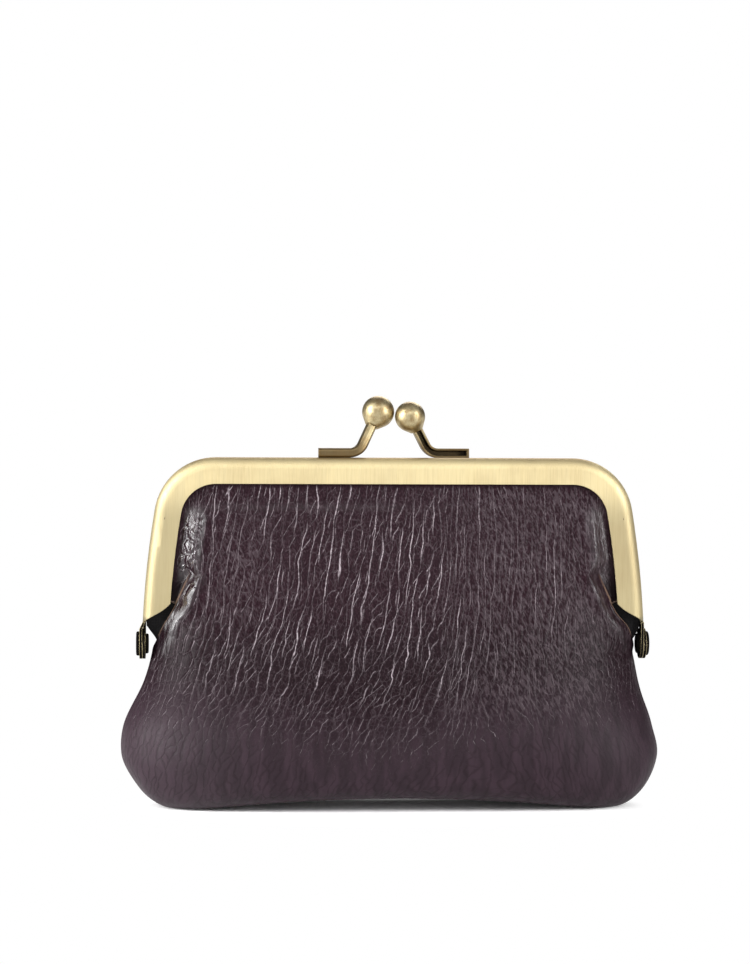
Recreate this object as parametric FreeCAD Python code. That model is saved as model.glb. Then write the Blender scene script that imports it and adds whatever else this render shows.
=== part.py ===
import FreeCAD, Part
import math
import os
from collections import namedtuple

# Kiss lock frame purse. X runs along the frame, the front faces -Y, Z is up and the purse stands on z = 0.
# The two jaws are one stamping turned half round about Z, and so are the clasps, panels and cords.
# All lengths are in millimetres and all angles in degrees.

# Frame outline
FRAME_WIDTH = 105.6
LEG_LENGTH = 33.0
LEG_RADIUS = 200.0
LEG_LEAN = 3.0
CORNER_RADIUS = 13.0

# Channel section of a jaw
SHEET = 0.6
FACE_HEIGHT = 5.6
INNER_WALL_HEIGHT = 5.0
JAW_DEPTH = 5.0
FACE_ROUND = 2.4
INNER_ROUND = 1.1
JAW_GAP = 0.3

# Leg ends and hinge
LEG_TAIL = 1.6
FACE_CUT_RISE = 3.4
FACE_CUT_STEP = 0.3
INNER_CUT_RISE = 1.0
HINGE_DROP = 6.3
EAR_RADIUS = 3.2
EAR_OUTSET = 0.15
EAR_GAP = 0.05
NECK_FRONT = 3.9
NECK_BACK = 0.4
RIVET_RADIUS = 1.0
RIVET_CLEARANCE = 0.05
RIVET_PLAY = 0.05
HEAD_RADIUS = 2.55
HEAD_THICKNESS = 0.65
TAIL_RADIUS = 2.1
TAIL_THICKNESS = 0.6
RIVET_EDGE = 0.3

# Clasp
CLASP_SIZE = 2.0
CLASP_WALL = 0.45
CLASP_ROUND = 0.7
FOOT_END = 16.1
FOOT_TURN = 7.5
FOOT_SETBACK = 2.4
TURN_RADIUS = 3.2
FRONT_BALL_RADIUS = 3.4
BACK_BALL_RADIUS = 3.2
BALL_SPREAD = 3.35
BALL_CROSSING = 0.5
FRONT_BALL_HEIGHT = 83.2
BALL_STEP = 1.0
BALL_RISE = 9.7
COLLAR_RADIUS = 1.5
COLLAR_REACH = 0.05
STEM_REACH = 1.6

# Bag
LEATHER = 1.2
LINING = 0.4
LAYER_GAP = 0.05
BAG_WIDTH = 114.4
BAG_DEPTH = 36.8
BELLY_HEIGHT = 12.5
BASE_DEPTH = 28.0
BASE_SEAM = 88.0
SEAM_END = 4.5
BASE_SINK = 0.3
SEAM_TRIM = 0.3
ARCH_RISE = 2.8
ARCH_WIDTH = 82.0
WAIST_CLEARANCE = 1.2
WAIST_DEPTH = 27.8
PANEL_SETBACK = 0.45
PANEL_EDGE = 2.3
SLIT_TOP = 2.1
SLIT_DRAW = 4.0
LIP_CLEARANCE = 1.3
BULGE_TOP_GAP = 1.8
CORD_EDGE = 3.0
CORD_START = 3.0
CORD_CLEARANCE = 0.05

Vec = FreeCAD.Vector
X_AXIS = Vec(1, 0, 0)
Y_AXIS = Vec(0, 1, 0)
Z_AXIS = Vec(0, 0, 1)
ORIGIN = Vec(0, 0, 0)

# The frame hangs at the height that puts the front ball where it is wanted.
FRAME_TOP = FRONT_BALL_HEIGHT - BALL_RISE

# Frame outline, worked out: a leg arc that leans inward runs into a corner arc, which ends level at the top.
TIP_HEIGHT = FRAME_TOP - LEG_LENGTH
TIP_ANGLE = math.radians(LEG_LEAN)
LEG_CENTRE = Vec(FRAME_WIDTH / 2 - LEG_RADIUS * math.cos(TIP_ANGLE), 0,
                 TIP_HEIGHT - LEG_RADIUS * math.sin(TIP_ANGLE))
CORNER_ANGLE = math.asin((FRAME_TOP - CORNER_RADIUS - LEG_CENTRE.z) / (LEG_RADIUS - CORNER_RADIUS))
LEG_TO_CORNER = (LEG_RADIUS - CORNER_RADIUS)
CORNER_CENTRE = LEG_CENTRE + Vec(math.cos(CORNER_ANGLE), 0, math.sin(CORNER_ANGLE)) * LEG_TO_CORNER

# Places that several pieces share
HINGE_HEIGHT = TIP_HEIGHT - HINGE_DROP
INNER_FACE = JAW_GAP / 2
CHANNEL_BACK = INNER_FACE + SHEET
PANEL_FACE = JAW_DEPTH - SHEET - PANEL_SETBACK
LINING_OUTER = LEATHER + LAYER_GAP
LINING_INNER = LINING_OUTER + LINING
HINGE_PLANE = FRAME_WIDTH / 2 + EAR_OUTSET
EAR_OFFSET = (SHEET + EAR_GAP) / 2
EARS_OUTER = HINGE_PLANE + EAR_OFFSET + SHEET / 2
EARS_INNER = HINGE_PLANE - EAR_OFFSET - SHEET / 2
RIVET_INNER = EARS_INNER - RIVET_PLAY - TAIL_THICKNESS
WAIST = RIVET_INNER - WAIST_CLEARANCE


def turned(shape):
    """The same piece on the other side: half a turn about Z."""
    copy = shape.copy()
    copy.rotate(ORIGIN, Z_AXIS, 180)
    return copy


def mirrored(point):
    """The point on the other half of the frame."""
    return Vec(-point.x, point.y, point.z)


def prism(edges, depth):
    """A solid from a closed run of edges, pushed along the vector depth."""
    return Part.Face(Part.Wire(edges)).extrude(depth)


def polygon(points):
    """The edges of a closed polygon."""
    return Part.makePolygon(points + [points[0]]).Edges


def line(start, end):
    """One straight edge."""
    return Part.makeLine(start, end)


def arc(start, middle, end):
    """One round edge."""
    return Part.Arc(start, middle, end).toShape()


def leg_point(inset, lean):
    """A point of the right leg, `inset` inside the frame's outline, where the leg leans by `lean`."""
    return LEG_CENTRE + Vec(math.cos(lean), 0, math.sin(lean)) * (LEG_RADIUS - inset)


def corner_point(inset, lean):
    """A point of the right corner, `inset` inside the frame's outline."""
    return CORNER_CENTRE + Vec(math.cos(lean), 0, math.sin(lean)) * (CORNER_RADIUS - inset)


def frame_outline(inset, start):
    """The frame's outline moved in by `inset`, from `start` above the right leg's tip round to the left leg."""
    low = TIP_ANGLE + start / LEG_RADIUS
    level = math.pi / 2
    right = [leg_point(inset, low), leg_point(inset, (low + CORNER_ANGLE) / 2), leg_point(inset, CORNER_ANGLE),
             corner_point(inset, (CORNER_ANGLE + level) / 2), corner_point(inset, level)]
    left = [mirrored(point) for point in right]
    return [arc(right[0], right[1], right[2]), arc(right[2], right[3], right[4]), line(right[4], left[4]),
            arc(left[4], left[3], left[2]), arc(left[2], left[1], left[0])]


def swept(section, steps):
    """A solid from a section that is pushed by a vector, or turned by (centre, axis, angle), step after step."""
    face = Part.Face(section)
    solids = []
    for step in steps:
        if isinstance(step, tuple):
            solids.append(face.revolve(*step))
            face = face.rotated(*step)
        else:
            solids.append(face.extrude(step))
            face = face.translated(step)
    return solids[0].fuse(solids[1:]).removeSplitter()


def round_the_frame(start):
    """The steps that take a section from `start` above the right leg's tip round to the left leg."""
    leg = math.degrees(CORNER_ANGLE - TIP_ANGLE - start / LEG_RADIUS)
    corner = 90 - math.degrees(CORNER_ANGLE)
    return [(LEG_CENTRE, -Y_AXIS, leg), (CORNER_CENTRE, -Y_AXIS, corner), X_AXIS * (-2 * CORNER_CENTRE.x),
            (mirrored(CORNER_CENTRE), -Y_AXIS, corner), (mirrored(LEG_CENTRE), -Y_AXIS, leg)]


def leg_half_width(height):
    """Half the frame's outer width at a height on the legs."""
    return LEG_CENTRE.x + math.sqrt(LEG_RADIUS ** 2 - (height - LEG_CENTRE.z) ** 2)


def round_end(radius):
    """How far the middle of a quarter arc lies from each of the two lines that the arc joins."""
    return radius * (1 - math.sqrt(0.5))


def channel_section(lean):
    """The jaw's section across the right leg: rounded front face, web, and flat wall on the inside."""
    inward = Vec(-math.cos(lean), 0, -math.sin(lean))
    base = leg_point(0, lean)

    def at(u, y):
        return base + inward * u + Y_AXIS * y

    def wall(depth):
        front = depth - JAW_DEPTH
        back = -INNER_FACE - depth
        face = FACE_ROUND - depth
        bend = INNER_ROUND - depth
        return [line(at(FACE_HEIGHT, front), at(FACE_ROUND, front)),
                arc(at(FACE_ROUND, front), at(depth + round_end(face), front + round_end(face)),
                    at(depth, front + face)),
                line(at(depth, front + face), at(depth, back - bend)),
                arc(at(depth, back - bend), at(depth + round_end(bend), back - round_end(bend)),
                    at(INNER_ROUND, back)),
                line(at(INNER_ROUND, back), at(INNER_WALL_HEIGHT, back))]

    inner_lip = line(at(INNER_WALL_HEIGHT, -INNER_FACE), at(INNER_WALL_HEIGHT, -CHANNEL_BACK))
    face_lip = line(at(FACE_HEIGHT, SHEET - JAW_DEPTH), at(FACE_HEIGHT, -JAW_DEPTH))
    return Part.Wire(wall(0) + [inner_lip] + wall(SHEET)[::-1] + [face_lip])


def leg_end_cut(poles, start, end):
    """Takes off what lies below a curve across the right leg's end, between two depths; poles are (in, up)."""
    inward = Vec(-math.cos(TIP_ANGLE), 0, -math.sin(TIP_ANGLE))
    upward = Vec(-math.sin(TIP_ANGLE), 0, math.cos(TIP_ANGLE))

    def at(u, s):
        return leg_point(0, TIP_ANGLE) + inward * u + upward * s + Y_AXIS * start

    below = -3 * LEG_TAIL
    curve = Part.BezierCurve()
    curve.setPoles([at(u, s) for u, s in poles])
    first = at(*poles[0])
    last = at(*poles[-1])
    low_first = at(poles[0][0], below)
    low_last = at(poles[-1][0], below)
    edges = [curve.toShape(), line(last, low_last), line(low_last, low_first), line(low_first, first)]
    return prism(edges, Y_AXIS * (end - start))


def ear(offset):
    """The right leg's hinge ear: the web runs on, joggles to its own plane and ends in a disc round the rivet."""
    low = TIP_ANGLE - LEG_TAIL / LEG_RADIUS
    plane = HINGE_PLANE + offset
    flat = HINGE_HEIGHT + EAR_RADIUS
    bottom = HINGE_HEIGHT - EAR_RADIUS - SHEET
    reach = Y_AXIS * (2 * JAW_DEPTH)
    side = [leg_point(0, low), leg_point(SHEET, low),
            Vec(plane - SHEET / 2, 0, flat), Vec(plane - SHEET / 2, 0, bottom),
            Vec(plane + SHEET / 2, 0, bottom), Vec(plane + SHEET / 2, 0, flat)]
    strip = prism(polygon([point - reach / 2 for point in side]), reach)
    x_in = plane - 4 * SHEET
    width = 8 * SHEET
    neck = prism(polygon([Vec(x_in, -NECK_FRONT, TIP_HEIGHT), Vec(x_in, -NECK_BACK, TIP_HEIGHT),
                          Vec(x_in, -NECK_BACK, HINGE_HEIGHT), Vec(x_in, -EAR_RADIUS, HINGE_HEIGHT)]),
                 X_AXIS * width)
    disc = Part.makeCylinder(EAR_RADIUS, width, Vec(x_in, 0, HINGE_HEIGHT), X_AXIS)
    hole = Part.makeCylinder(RIVET_RADIUS + RIVET_CLEARANCE, width, Vec(x_in, 0, HINGE_HEIGHT), X_AXIS)
    return strip.common(neck.fuse(disc)).cut(hole)


def flipped(shape):
    """The same shape on the left leg."""
    return shape.mirror(ORIGIN, X_AXIS)


def jaw():
    """The front jaw: a channel swept round the outline, its leg ends shaped, with an ear on each leg."""
    channel = swept(channel_section(TIP_ANGLE - LEG_TAIL / LEG_RADIUS), round_the_frame(-LEG_TAIL))
    face_cut = leg_end_cut([(FACE_HEIGHT + SHEET, FACE_CUT_RISE), (0.75 * FACE_HEIGHT, FACE_CUT_STEP),
                            (0.36 * FACE_HEIGHT, FACE_CUT_STEP), (-SHEET, -1.4 * LEG_TAIL)],
                           -2 * JAW_DEPTH, FACE_ROUND - JAW_DEPTH)
    inner_cut = leg_end_cut([(FACE_HEIGHT + SHEET, INNER_CUT_RISE), (0.7 * FACE_HEIGHT, 0),
                             (0.5 * FACE_HEIGHT, 0), (INNER_ROUND, -2 * LEG_TAIL)],
                            -CHANNEL_BACK - SHEET, JAW_DEPTH)
    cuts = [face_cut, inner_cut, flipped(face_cut), flipped(inner_cut)]
    shaped = channel.cut(cuts)
    return shaped.fuse([ear(-EAR_OFFSET), flipped(ear(EAR_OFFSET))]).removeSplitter()


def rivet():
    """The right hinge rivet: domed head outside, shank through both ears, upset tail inside."""
    outer = EARS_OUTER + RIVET_PLAY
    inner = EARS_INNER - RIVET_PLAY
    points = [Vec(RIVET_INNER, 0, 0), Vec(RIVET_INNER, 0, TAIL_RADIUS), Vec(inner, 0, TAIL_RADIUS),
              Vec(inner, 0, RIVET_RADIUS), Vec(outer, 0, RIVET_RADIUS), Vec(outer, 0, HEAD_RADIUS),
              Vec(outer + HEAD_THICKNESS, 0, HEAD_RADIUS), Vec(outer + HEAD_THICKNESS, 0, 0)]
    body = Part.Face(Part.Wire(polygon(points))).revolve(ORIGIN, X_AXIS, 360)
    ends = (RIVET_INNER, outer + HEAD_THICKNESS)
    rims = [edge for edge in body.Edges if edge.Closed and min(abs(edge.CenterOfMass.x - end) for end in ends) < 1e-6]
    body = body.makeFillet(RIVET_EDGE, rims)
    body.translate(Z_AXIS * HINGE_HEIGHT)
    return body


def clasp_sections():
    """The clasp's section at the end of its foot, as an open channel and as the full bar that it is bent from."""
    half = CLASP_SIZE / 2
    base = Vec(-FOOT_END, -FOOT_SETBACK, FRAME_TOP + half)

    def at(y, z):
        return base + Vec(0, y, z)

    def wall(depth):
        side = half - depth
        floor = depth - half
        radius = CLASP_ROUND - depth
        middle = round_end(radius)
        return [line(at(half, side), at(floor + radius, side)),
                arc(at(floor + radius, side), at(floor + middle, side - middle), at(floor, side - radius)),
                line(at(floor, side - radius), at(floor, radius - side)),
                arc(at(floor, radius - side), at(floor + middle, middle - side), at(floor + radius, -side)),
                line(at(floor + radius, -side), at(half, -side))]

    bore = half - CLASP_WALL
    low_lip = line(at(half, -half), at(half, -bore))
    high_lip = line(at(half, bore), at(half, half))
    channel = Part.Wire(wall(0) + [low_lip] + wall(CLASP_WALL)[::-1] + [high_lip])
    bar = Part.Wire(wall(0) + [line(at(half, -half), at(half, half))])
    return channel, bar


def clasp(ball_height, ball_radius):
    """The front clasp: a channel that lies on the jaw, turns up and leans across the middle, and its ball."""
    half = CLASP_SIZE / 2
    start = Vec(-FOOT_END, -FOOT_SETBACK, FRAME_TOP + half)
    turn = Vec(-FOOT_TURN, -FOOT_SETBACK, FRAME_TOP + half)
    ball_centre = Vec(-BALL_SPREAD, BALL_CROSSING, ball_height)
    rise = (ball_centre - turn).normalize()
    angle = math.acos(rise.x)
    tangent = TURN_RADIUS * math.tan(angle / 2)
    side = X_AXIS.cross(rise).normalize()
    centre = turn - X_AXIS * tangent + side.cross(X_AXIS) * TURN_RADIUS
    foot_run = X_AXIS * (turn.x - tangent - start.x)
    stem_run = rise * ((ball_centre - turn).Length - tangent - STEM_REACH)
    steps = [foot_run, (centre, side, math.degrees(angle)), stem_run]
    channel_wire, bar_wire = clasp_sections()
    channel = swept(channel_wire, steps)
    bar = swept(bar_wire, steps)
    foot_cap = Part.Face(bar_wire).extrude(X_AXIS * CLASP_WALL)
    post = channel.fuse(foot_cap).removeSplitter()
    return post, ball(ball_radius, ball_centre, rise).cut(bar)


def ball(radius, centre, rise):
    """A ball that tapers to a collar where the stem enters it."""
    drop = radius + COLLAR_REACH
    slant = math.hypot(COLLAR_RADIUS, drop)
    touch = math.atan2(COLLAR_RADIUS, drop) + math.acos(radius / slant)
    middle = (touch + math.pi) / 2
    top = Vec(0, 0, radius)
    side = Vec(math.sin(middle), 0, -math.cos(middle)) * radius
    tangent = Vec(math.sin(touch), 0, -math.cos(touch)) * radius
    rim = Vec(COLLAR_RADIUS, 0, -drop)
    foot = Vec(0, 0, -drop)
    edges = [arc(top, side, tangent), line(tangent, rim), line(rim, foot), line(foot, top)]
    solid = Part.Face(Part.Wire(edges)).revolve(ORIGIN, Z_AXIS, 360)
    solid.Placement = FreeCAD.Placement(centre, FreeCAD.Rotation(Z_AXIS, rise))
    return solid


# One section of a panel: height, half width and depth of its outer face, how square its curve is (1 is an ellipse),
# how far its wall leans under (90 lies flat), how much of the base's arch it follows, and how much it is held flat.
Station = namedtuple("Station", "height half_width depth power lean arch held")


def stations():
    """The panel's sections from the seam under the base, round the belly and up into the frame's channel."""
    belly = BAG_WIDTH / 2
    deep = BAG_DEPTH / 2
    seam = BASE_SEAM / 2
    base = seam + SEAM_END
    flat = BASE_DEPTH / 2
    waist = WAIST_DEPTH / 2
    sink = -BASE_SINK
    lip = FRAME_TOP - FACE_HEIGHT - BULGE_TOP_GAP
    mouth = TIP_HEIGHT - LEG_TAIL

    def low(share, power, lean, arch):
        height = sink + share * (BELLY_HEIGHT - sink)
        swell = (1 - (1 - share) ** 2) ** 0.7
        return Station(height, base + swell * (belly - base), flat + swell * (deep - flat), power, lean, arch, 0)

    def high(share, power):
        height = BELLY_HEIGHT + share * (HINGE_HEIGHT - BELLY_HEIGHT)
        draw = (1 - math.cos(math.pi * share)) / 2
        return Station(height, belly + draw * (WAIST - belly), deep + share ** 2 * (waist - deep), power, 0, 0, 0)

    def held(height, share):
        bulge = (waist - PANEL_FACE) * ((lip - height) / (lip - HINGE_HEIGHT)) ** 0.8 if height < lip else 0
        half_width = leg_half_width(min(height, CORNER_CENTRE.z)) - PANEL_EDGE + SHEET
        return Station(height, half_width, bulge, 1.0, 0, 0, share)

    under = [Station(sink, seam, -SEAM_TRIM, 1.0, 90, 1.0, 0),
             Station(sink, (seam + base) / 2, flat / 2, 0.7, 90, 1.0, 0)]
    wall = [low(0, 0.62, 75, 1.0), low(0.38, 0.7, 20, 0.6), low(1, 0.8, 0, 0)]
    drawn = [high(0.33, 0.84), high(0.67, 0.88), high(1, 0.92)]
    neck = [held(mouth + share * (lip - mouth), 1) for share in (0, 0.12, 0.28, 0.52, 0.76, 1)]
    return under + wall + drawn + neck + [held(FRAME_TOP, 1)]


LIP_ANGLE = 12
SWEEP = [0, LIP_ANGLE, 26, 42, 58, 74, 90]


def section_point(station, inset, angle):
    """A point of a panel's section, `inset` behind the leather's face; angle runs from the right edge to the left."""
    side = 1 if angle <= 90 else -1
    near = math.radians(min(angle, 180 - angle))
    lean = math.radians(station.lean)
    across = inset * math.cos(lean)
    if station.held:
        lip = leg_half_width(min(station.height, CORNER_CENTRE.z)) - FACE_HEIGHT - LIP_CLEARANCE
        start = math.radians(LIP_ANGLE)
        share = near / start
        bulge_angle = max(0, (near - start) / (math.pi / 2 - start)) * math.pi / 2
        x = station.half_width + share * (lip - station.half_width) if share < 1 else lip * math.cos(bulge_angle)
        y = PANEL_FACE - inset + station.depth * math.sin(bulge_angle)
        return Vec(side * x, -y, station.height)
    x = (station.half_width - across) * math.cos(near) ** station.power
    y = (station.depth + SEAM_TRIM - across) * math.sin(near) ** station.power - SEAM_TRIM
    arch = max(0, 1 - (2 * x / ARCH_WIDTH) ** 2)
    z = station.height + inset * math.sin(lean) + station.arch * ARCH_RISE * arch
    return Vec(side * x, -y, z)


def clamped(count):
    """Knots and their multiplicities for a cubic with `count` poles that starts and ends on its first and last."""
    spans = count - 3
    return list(range(spans + 1)), [4] + [1] * (spans - 1) + [4]


def skin(inset):
    """The smooth face of a panel, `inset` behind the leather's outer face, drawn by its sections as poles."""
    angles = SWEEP + [180 - angle for angle in SWEEP[-2::-1]]
    poles = [[section_point(station, inset, angle) for angle in angles] for station in stations()]
    knots_up, counts_up = clamped(len(poles))
    knots_round, counts_round = clamped(len(angles))
    surface = Part.BSplineSurface()
    surface.buildFromPolesMultsKnots(poles, counts_up, counts_round, knots_up, knots_round, False, False, 3, 3)
    return surface


def between(first, second):
    """The solid between two skins, closed along their four edges."""
    low_u, high_u, low_v, high_v = first.bounds()
    sides = [(first.uIso(low_u), second.uIso(low_u)), (first.uIso(high_u), second.uIso(high_u)),
             (first.vIso(low_v), second.vIso(low_v)), (first.vIso(high_v), second.vIso(high_v))]
    closing = [Part.makeRuledSurface(a.toShape(), b.toShape()) for a, b in sides]
    shell = Part.makeShell([first.toShape(), second.toShape()] + closing)
    shell.sewShape()
    solid = Part.makeSolid(shell)
    solid.fix(1e-6, 1e-6, 1e-4)
    return solid


def panel(outer, inner, draw):
    """The front half of the bag between two depths behind the leather's face, trimmed to the frame and floor; its
    edge is drawn in by `draw` where it leaves the leg and runs out to the hinge."""
    body = between(skin(outer), skin(inner))
    top = frame_outline(PANEL_EDGE, SLIT_TOP)
    right = leg_point(PANEL_EDGE, TIP_ANGLE + SLIT_TOP / LEG_RADIUS)
    slit = Vec(right.x - draw, 0, right.z)
    low = Vec(right.x, 0, HINGE_HEIGHT + EAR_RADIUS * (1 - draw / SLIT_DRAW))
    wide = Vec(BAG_WIDTH, 0, HINGE_HEIGHT)
    floor = Vec(BAG_WIDTH, 0, 0)
    right_side = ([line(right, slit)] if draw else []) + [line(slit, low), line(low, wide), line(wide, floor)]
    base = [line(floor, mirrored(floor))]
    left_side = [flipped(edge) for edge in right_side]
    trim = prism(Part.__sortEdges__(top + right_side + base + left_side), Y_AXIS * -BAG_DEPTH)
    return body.common(trim).Solids[0]


def paper_cord():
    """The cord that wedges the panel's edge against the front jaw's inner wall, all the way round the channel."""
    room = PANEL_FACE - LINING_INNER - CHANNEL_BACK
    radius = room / 2 - CORD_CLEARANCE
    lean = TIP_ANGLE + CORD_START / LEG_RADIUS
    centre = leg_point(CORD_EDGE, lean) - Y_AXIS * (CHANNEL_BACK + room / 2)
    along = Vec(-math.sin(lean), 0, math.cos(lean))
    return swept(Part.Wire(Part.makeCircle(radius, centre, along)), round_the_frame(CORD_START))


def build():
    """All the pieces, by name."""
    front_jaw = jaw()
    right_rivet = rivet()
    front_post, front_ball = clasp(FRONT_BALL_HEIGHT, FRONT_BALL_RADIUS)
    back_post, back_ball = clasp(FRONT_BALL_HEIGHT - BALL_STEP, BACK_BALL_RADIUS)
    leather = panel(0, LEATHER, SLIT_DRAW)
    lining = panel(LINING_OUTER, LINING_INNER, 0)
    cord = paper_cord()
    return {"front_jaw": front_jaw, "back_jaw": turned(front_jaw),
            "right_hinge_rivet": right_rivet, "left_hinge_rivet": turned(right_rivet),
            "front_clasp_post": front_post, "front_clasp_ball": front_ball,
            "back_clasp_post": turned(back_post), "back_clasp_ball": turned(back_ball),
            "front_leather_panel": leather, "back_leather_panel": turned(leather),
            "front_lining_panel": lining, "back_lining_panel": turned(lining),
            "front_paper_cord": cord, "back_paper_cord": turned(cord)}


os.makedirs("parts", exist_ok=True)
for name, shape in build().items():
    box = shape.BoundBox
    print(name, shape.isValid(), len(shape.Solids), round(shape.Volume, 2),
          [round(v, 2) for v in (box.XMin, box.XMax, box.YMin, box.YMax, box.ZMin, box.ZMax)])
    shape.exportStep("parts/" + name + ".step")
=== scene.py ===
import math
from types import SimpleNamespace

import bpy
import numpy as np
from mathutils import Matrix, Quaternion, Vector


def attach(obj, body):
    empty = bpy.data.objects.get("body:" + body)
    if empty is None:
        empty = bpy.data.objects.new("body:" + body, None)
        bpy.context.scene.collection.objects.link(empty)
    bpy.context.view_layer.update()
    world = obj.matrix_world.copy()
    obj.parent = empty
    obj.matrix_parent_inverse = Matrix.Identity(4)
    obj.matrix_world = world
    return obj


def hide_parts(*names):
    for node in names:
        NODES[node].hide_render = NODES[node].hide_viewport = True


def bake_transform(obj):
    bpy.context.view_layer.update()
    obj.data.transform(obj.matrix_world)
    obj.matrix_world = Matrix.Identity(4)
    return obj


bl_info = {
    "name": "Kiss lock frame purse",
    "version": (1, 0, 0),
    "blender": (4, 5, 0),
    "location": "View3D > Sidebar > Purse",
    "description": "Dresses a hinged brass purse frame in pebbled leather, black lining and antique brass",
    "category": "Object",
}

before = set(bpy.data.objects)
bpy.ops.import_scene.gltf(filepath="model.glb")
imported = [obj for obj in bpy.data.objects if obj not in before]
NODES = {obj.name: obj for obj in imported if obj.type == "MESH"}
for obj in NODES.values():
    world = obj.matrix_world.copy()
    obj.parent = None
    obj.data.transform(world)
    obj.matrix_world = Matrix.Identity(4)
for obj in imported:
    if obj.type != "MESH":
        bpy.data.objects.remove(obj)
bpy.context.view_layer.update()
MM = 0.001

# Frame outline in millimetres: a leaning leg arc that runs into a corner arc and a level top bar
FRAME_WIDTH = 105.6
FRAME_TOP = 73.5
LEG_LENGTH = 33.0
LEG_RADIUS = 200.0
LEG_LEAN = math.radians(3.0)
CORNER_RADIUS = 13.0
FACE_HEIGHT = 5.6
CHANNEL_BACK = 0.75
LEG_TAIL = 1.6
TIP_HEIGHT = FRAME_TOP - LEG_LENGTH
HINGE_HEIGHT = 34.2
LEG_X = FRAME_WIDTH / 2 - LEG_RADIUS * math.cos(LEG_LEAN)
LEG_Z = TIP_HEIGHT - LEG_RADIUS * math.sin(LEG_LEAN)
CORNER_ANGLE = math.asin((FRAME_TOP - CORNER_RADIUS - LEG_Z) / (LEG_RADIUS - CORNER_RADIUS))
CORNER_X = LEG_X + (LEG_RADIUS - CORNER_RADIUS) * math.cos(CORNER_ANGLE)
CORNER_Z = LEG_Z + (LEG_RADIUS - CORNER_RADIUS) * math.sin(CORNER_ANGLE)

# Bag in millimetres and degrees, drawn by the poles of a smooth skin
LEATHER = 1.2
LINING_GAP = 0.05
LINING = 0.4
BAG_WIDTH = 114.4
BAG_DEPTH = 36.8
BELLY_HEIGHT = 12.5
BASE_DEPTH = 28.0
BASE_SEAM = 88.0
BASE_WIDTH = 99.0
BASE_SINK = 0.3
SEAM_TRIM = 0.3
ARCH_RISE = 2.8
ARCH_WIDTH = 82.0
WAIST = 50.475
WAIST_DEPTH = 27.8
PANEL_FACE = 3.95
PANEL_EDGE = 2.4
LIP_CLEARANCE = 1.3
BULGE_TOP_GAP = 1.8
LIP_ANGLE = 12
SWEEP = [0, LIP_ANGLE, 26, 42, 58, 74, 90]
SEAM_CLEARANCE = 0.03
FLOOR_CLEARANCE = 0.02
# Heights at which a panel enters its jaw between the legs and behind the top bar
MOUTH = TIP_HEIGHT - LEG_TAIL
LIP = FRAME_TOP - FACE_HEIGHT - BULGE_TOP_GAP
SIDES = ("front", "back")

# Paper cord in millimetres: inset from the frame, start up the leg, radius, and spacing of its rings
CORD_EDGE = 3.0
CORD_START = 3.0
CORD_RADIUS = 0.72
CORD_SPACING = 0.45
# Depth of its groove as a share of the radius, turn from ring to ring in radians, and sides of a ring
CORD_GROOVE = 0.14
CORD_TWIST = 0.32
CORD_SIDES = 12

# The free edge of a leather panel below its jaw's leg: half widths at heights, in millimetres
SLIT_HEIGHTS = (33.6, 36.9, 38.6, 40.5, 42.6, 49.0, 52.0, 62.0)
SLIT_HALF_WIDTHS = (50.6, 49.3, 48.4, 47.2, 46.05, 43.1, 45.0, 43.8)
# Heights over which a slit opens and closes, and the half width from which a panel narrows to it
SLIT_FOOT = (33.0, 34.6)
SLIT_HEAD = (42.9, 44.4)
SLIT_DRAWS_FROM = 42.5
# The lining's hem beside a slit: half width that it reaches, its own width, and heights over which it widens
HEM_HALF_WIDTH = 52.1
HEM_WIDTH = 1.8
HEM_FOOT = (34.4, 38.4)
# The leather's roll along a slit: height, distance inside the line, width, and the ends that it fades over
ROLL_HEIGHT = 1.2
ROLL_INSIDE = 2.4
ROLL_WIDTH = 1.7
ROLL_FOOT = (33.5, 38.0)
ROLL_HEAD = (58.0, 66.0)
# How far the cut edge dips behind the roll, and the heights over which the dip ends
EDGE_DIP = 0.4
DIP_HEAD = (48.0, 52.0)
# How far and over which width a panel is tucked in beside the jaw's lip, and its share at heights
TUCK = 1.8
TUCK_WIDTH = 8.0
TUCK_HEIGHTS = (42.9, 49.0, 51.5, 54.0)
TUCK_SHARES = (0.0, 1.0, 0.3, 0.0)
# How far the belly hangs to the left and the waist fills to the right
BELLY_SWAY = 0.9
WAIST_FILL = 0.9

# Width and height of a pebble of the grain, in millimetres
PEBBLE_MM = (2.1, 4.2)
# Middle and reach, across and up, of the spot where creases fade and of the one that is creased
CALM_SPOT = ((-32.0, 50.0), (6.0, 12.0))
CREASED_SPOT = ((32.0, 46.0), (5.5, 10.0))

# Stretches in metres over which the leather pales, its marks fade, its low left side pales as painted light
# from the left, its wrinkles begin and the brass brightens above the painted shade down its legs
LEATHER_PALES = (0.030, 0.046)
MARKS_FADE = (0.020, 0.042)
LEFT_PAINTED_LIGHT = (-0.056, -0.036)
WRINKLES_BEGIN = (0.043, 0.048)
LEG_PAINTED_SHADE = (0.060, 0.068)

# Brass finishes: brightness, share of brown, size of its clouds, roughness, and the height in millimetres
# below which it is black, or dark brown as painted shade
FINISHES = {
    "brushed_brass": {"bright": 0.96, "brown": 0.3, "cloud_mm": 10.0, "roughness": 0.6, "black_below": 39.4},
    "blackened_rivet": {"bright": 1.2, "brown": 0.3, "cloud_mm": 2.0, "roughness": 0.4, "black_below": 60.0},
    "clasp_brass": {"bright": 0.45, "brown": 0.9, "cloud_mm": 3.0, "roughness": 0.42, "painted_shade_below": 76.5},
    "ball_brass": {"bright": 0.72, "brown": 1.0, "cloud_mm": 1.6, "roughness": 0.42},
}

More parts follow.
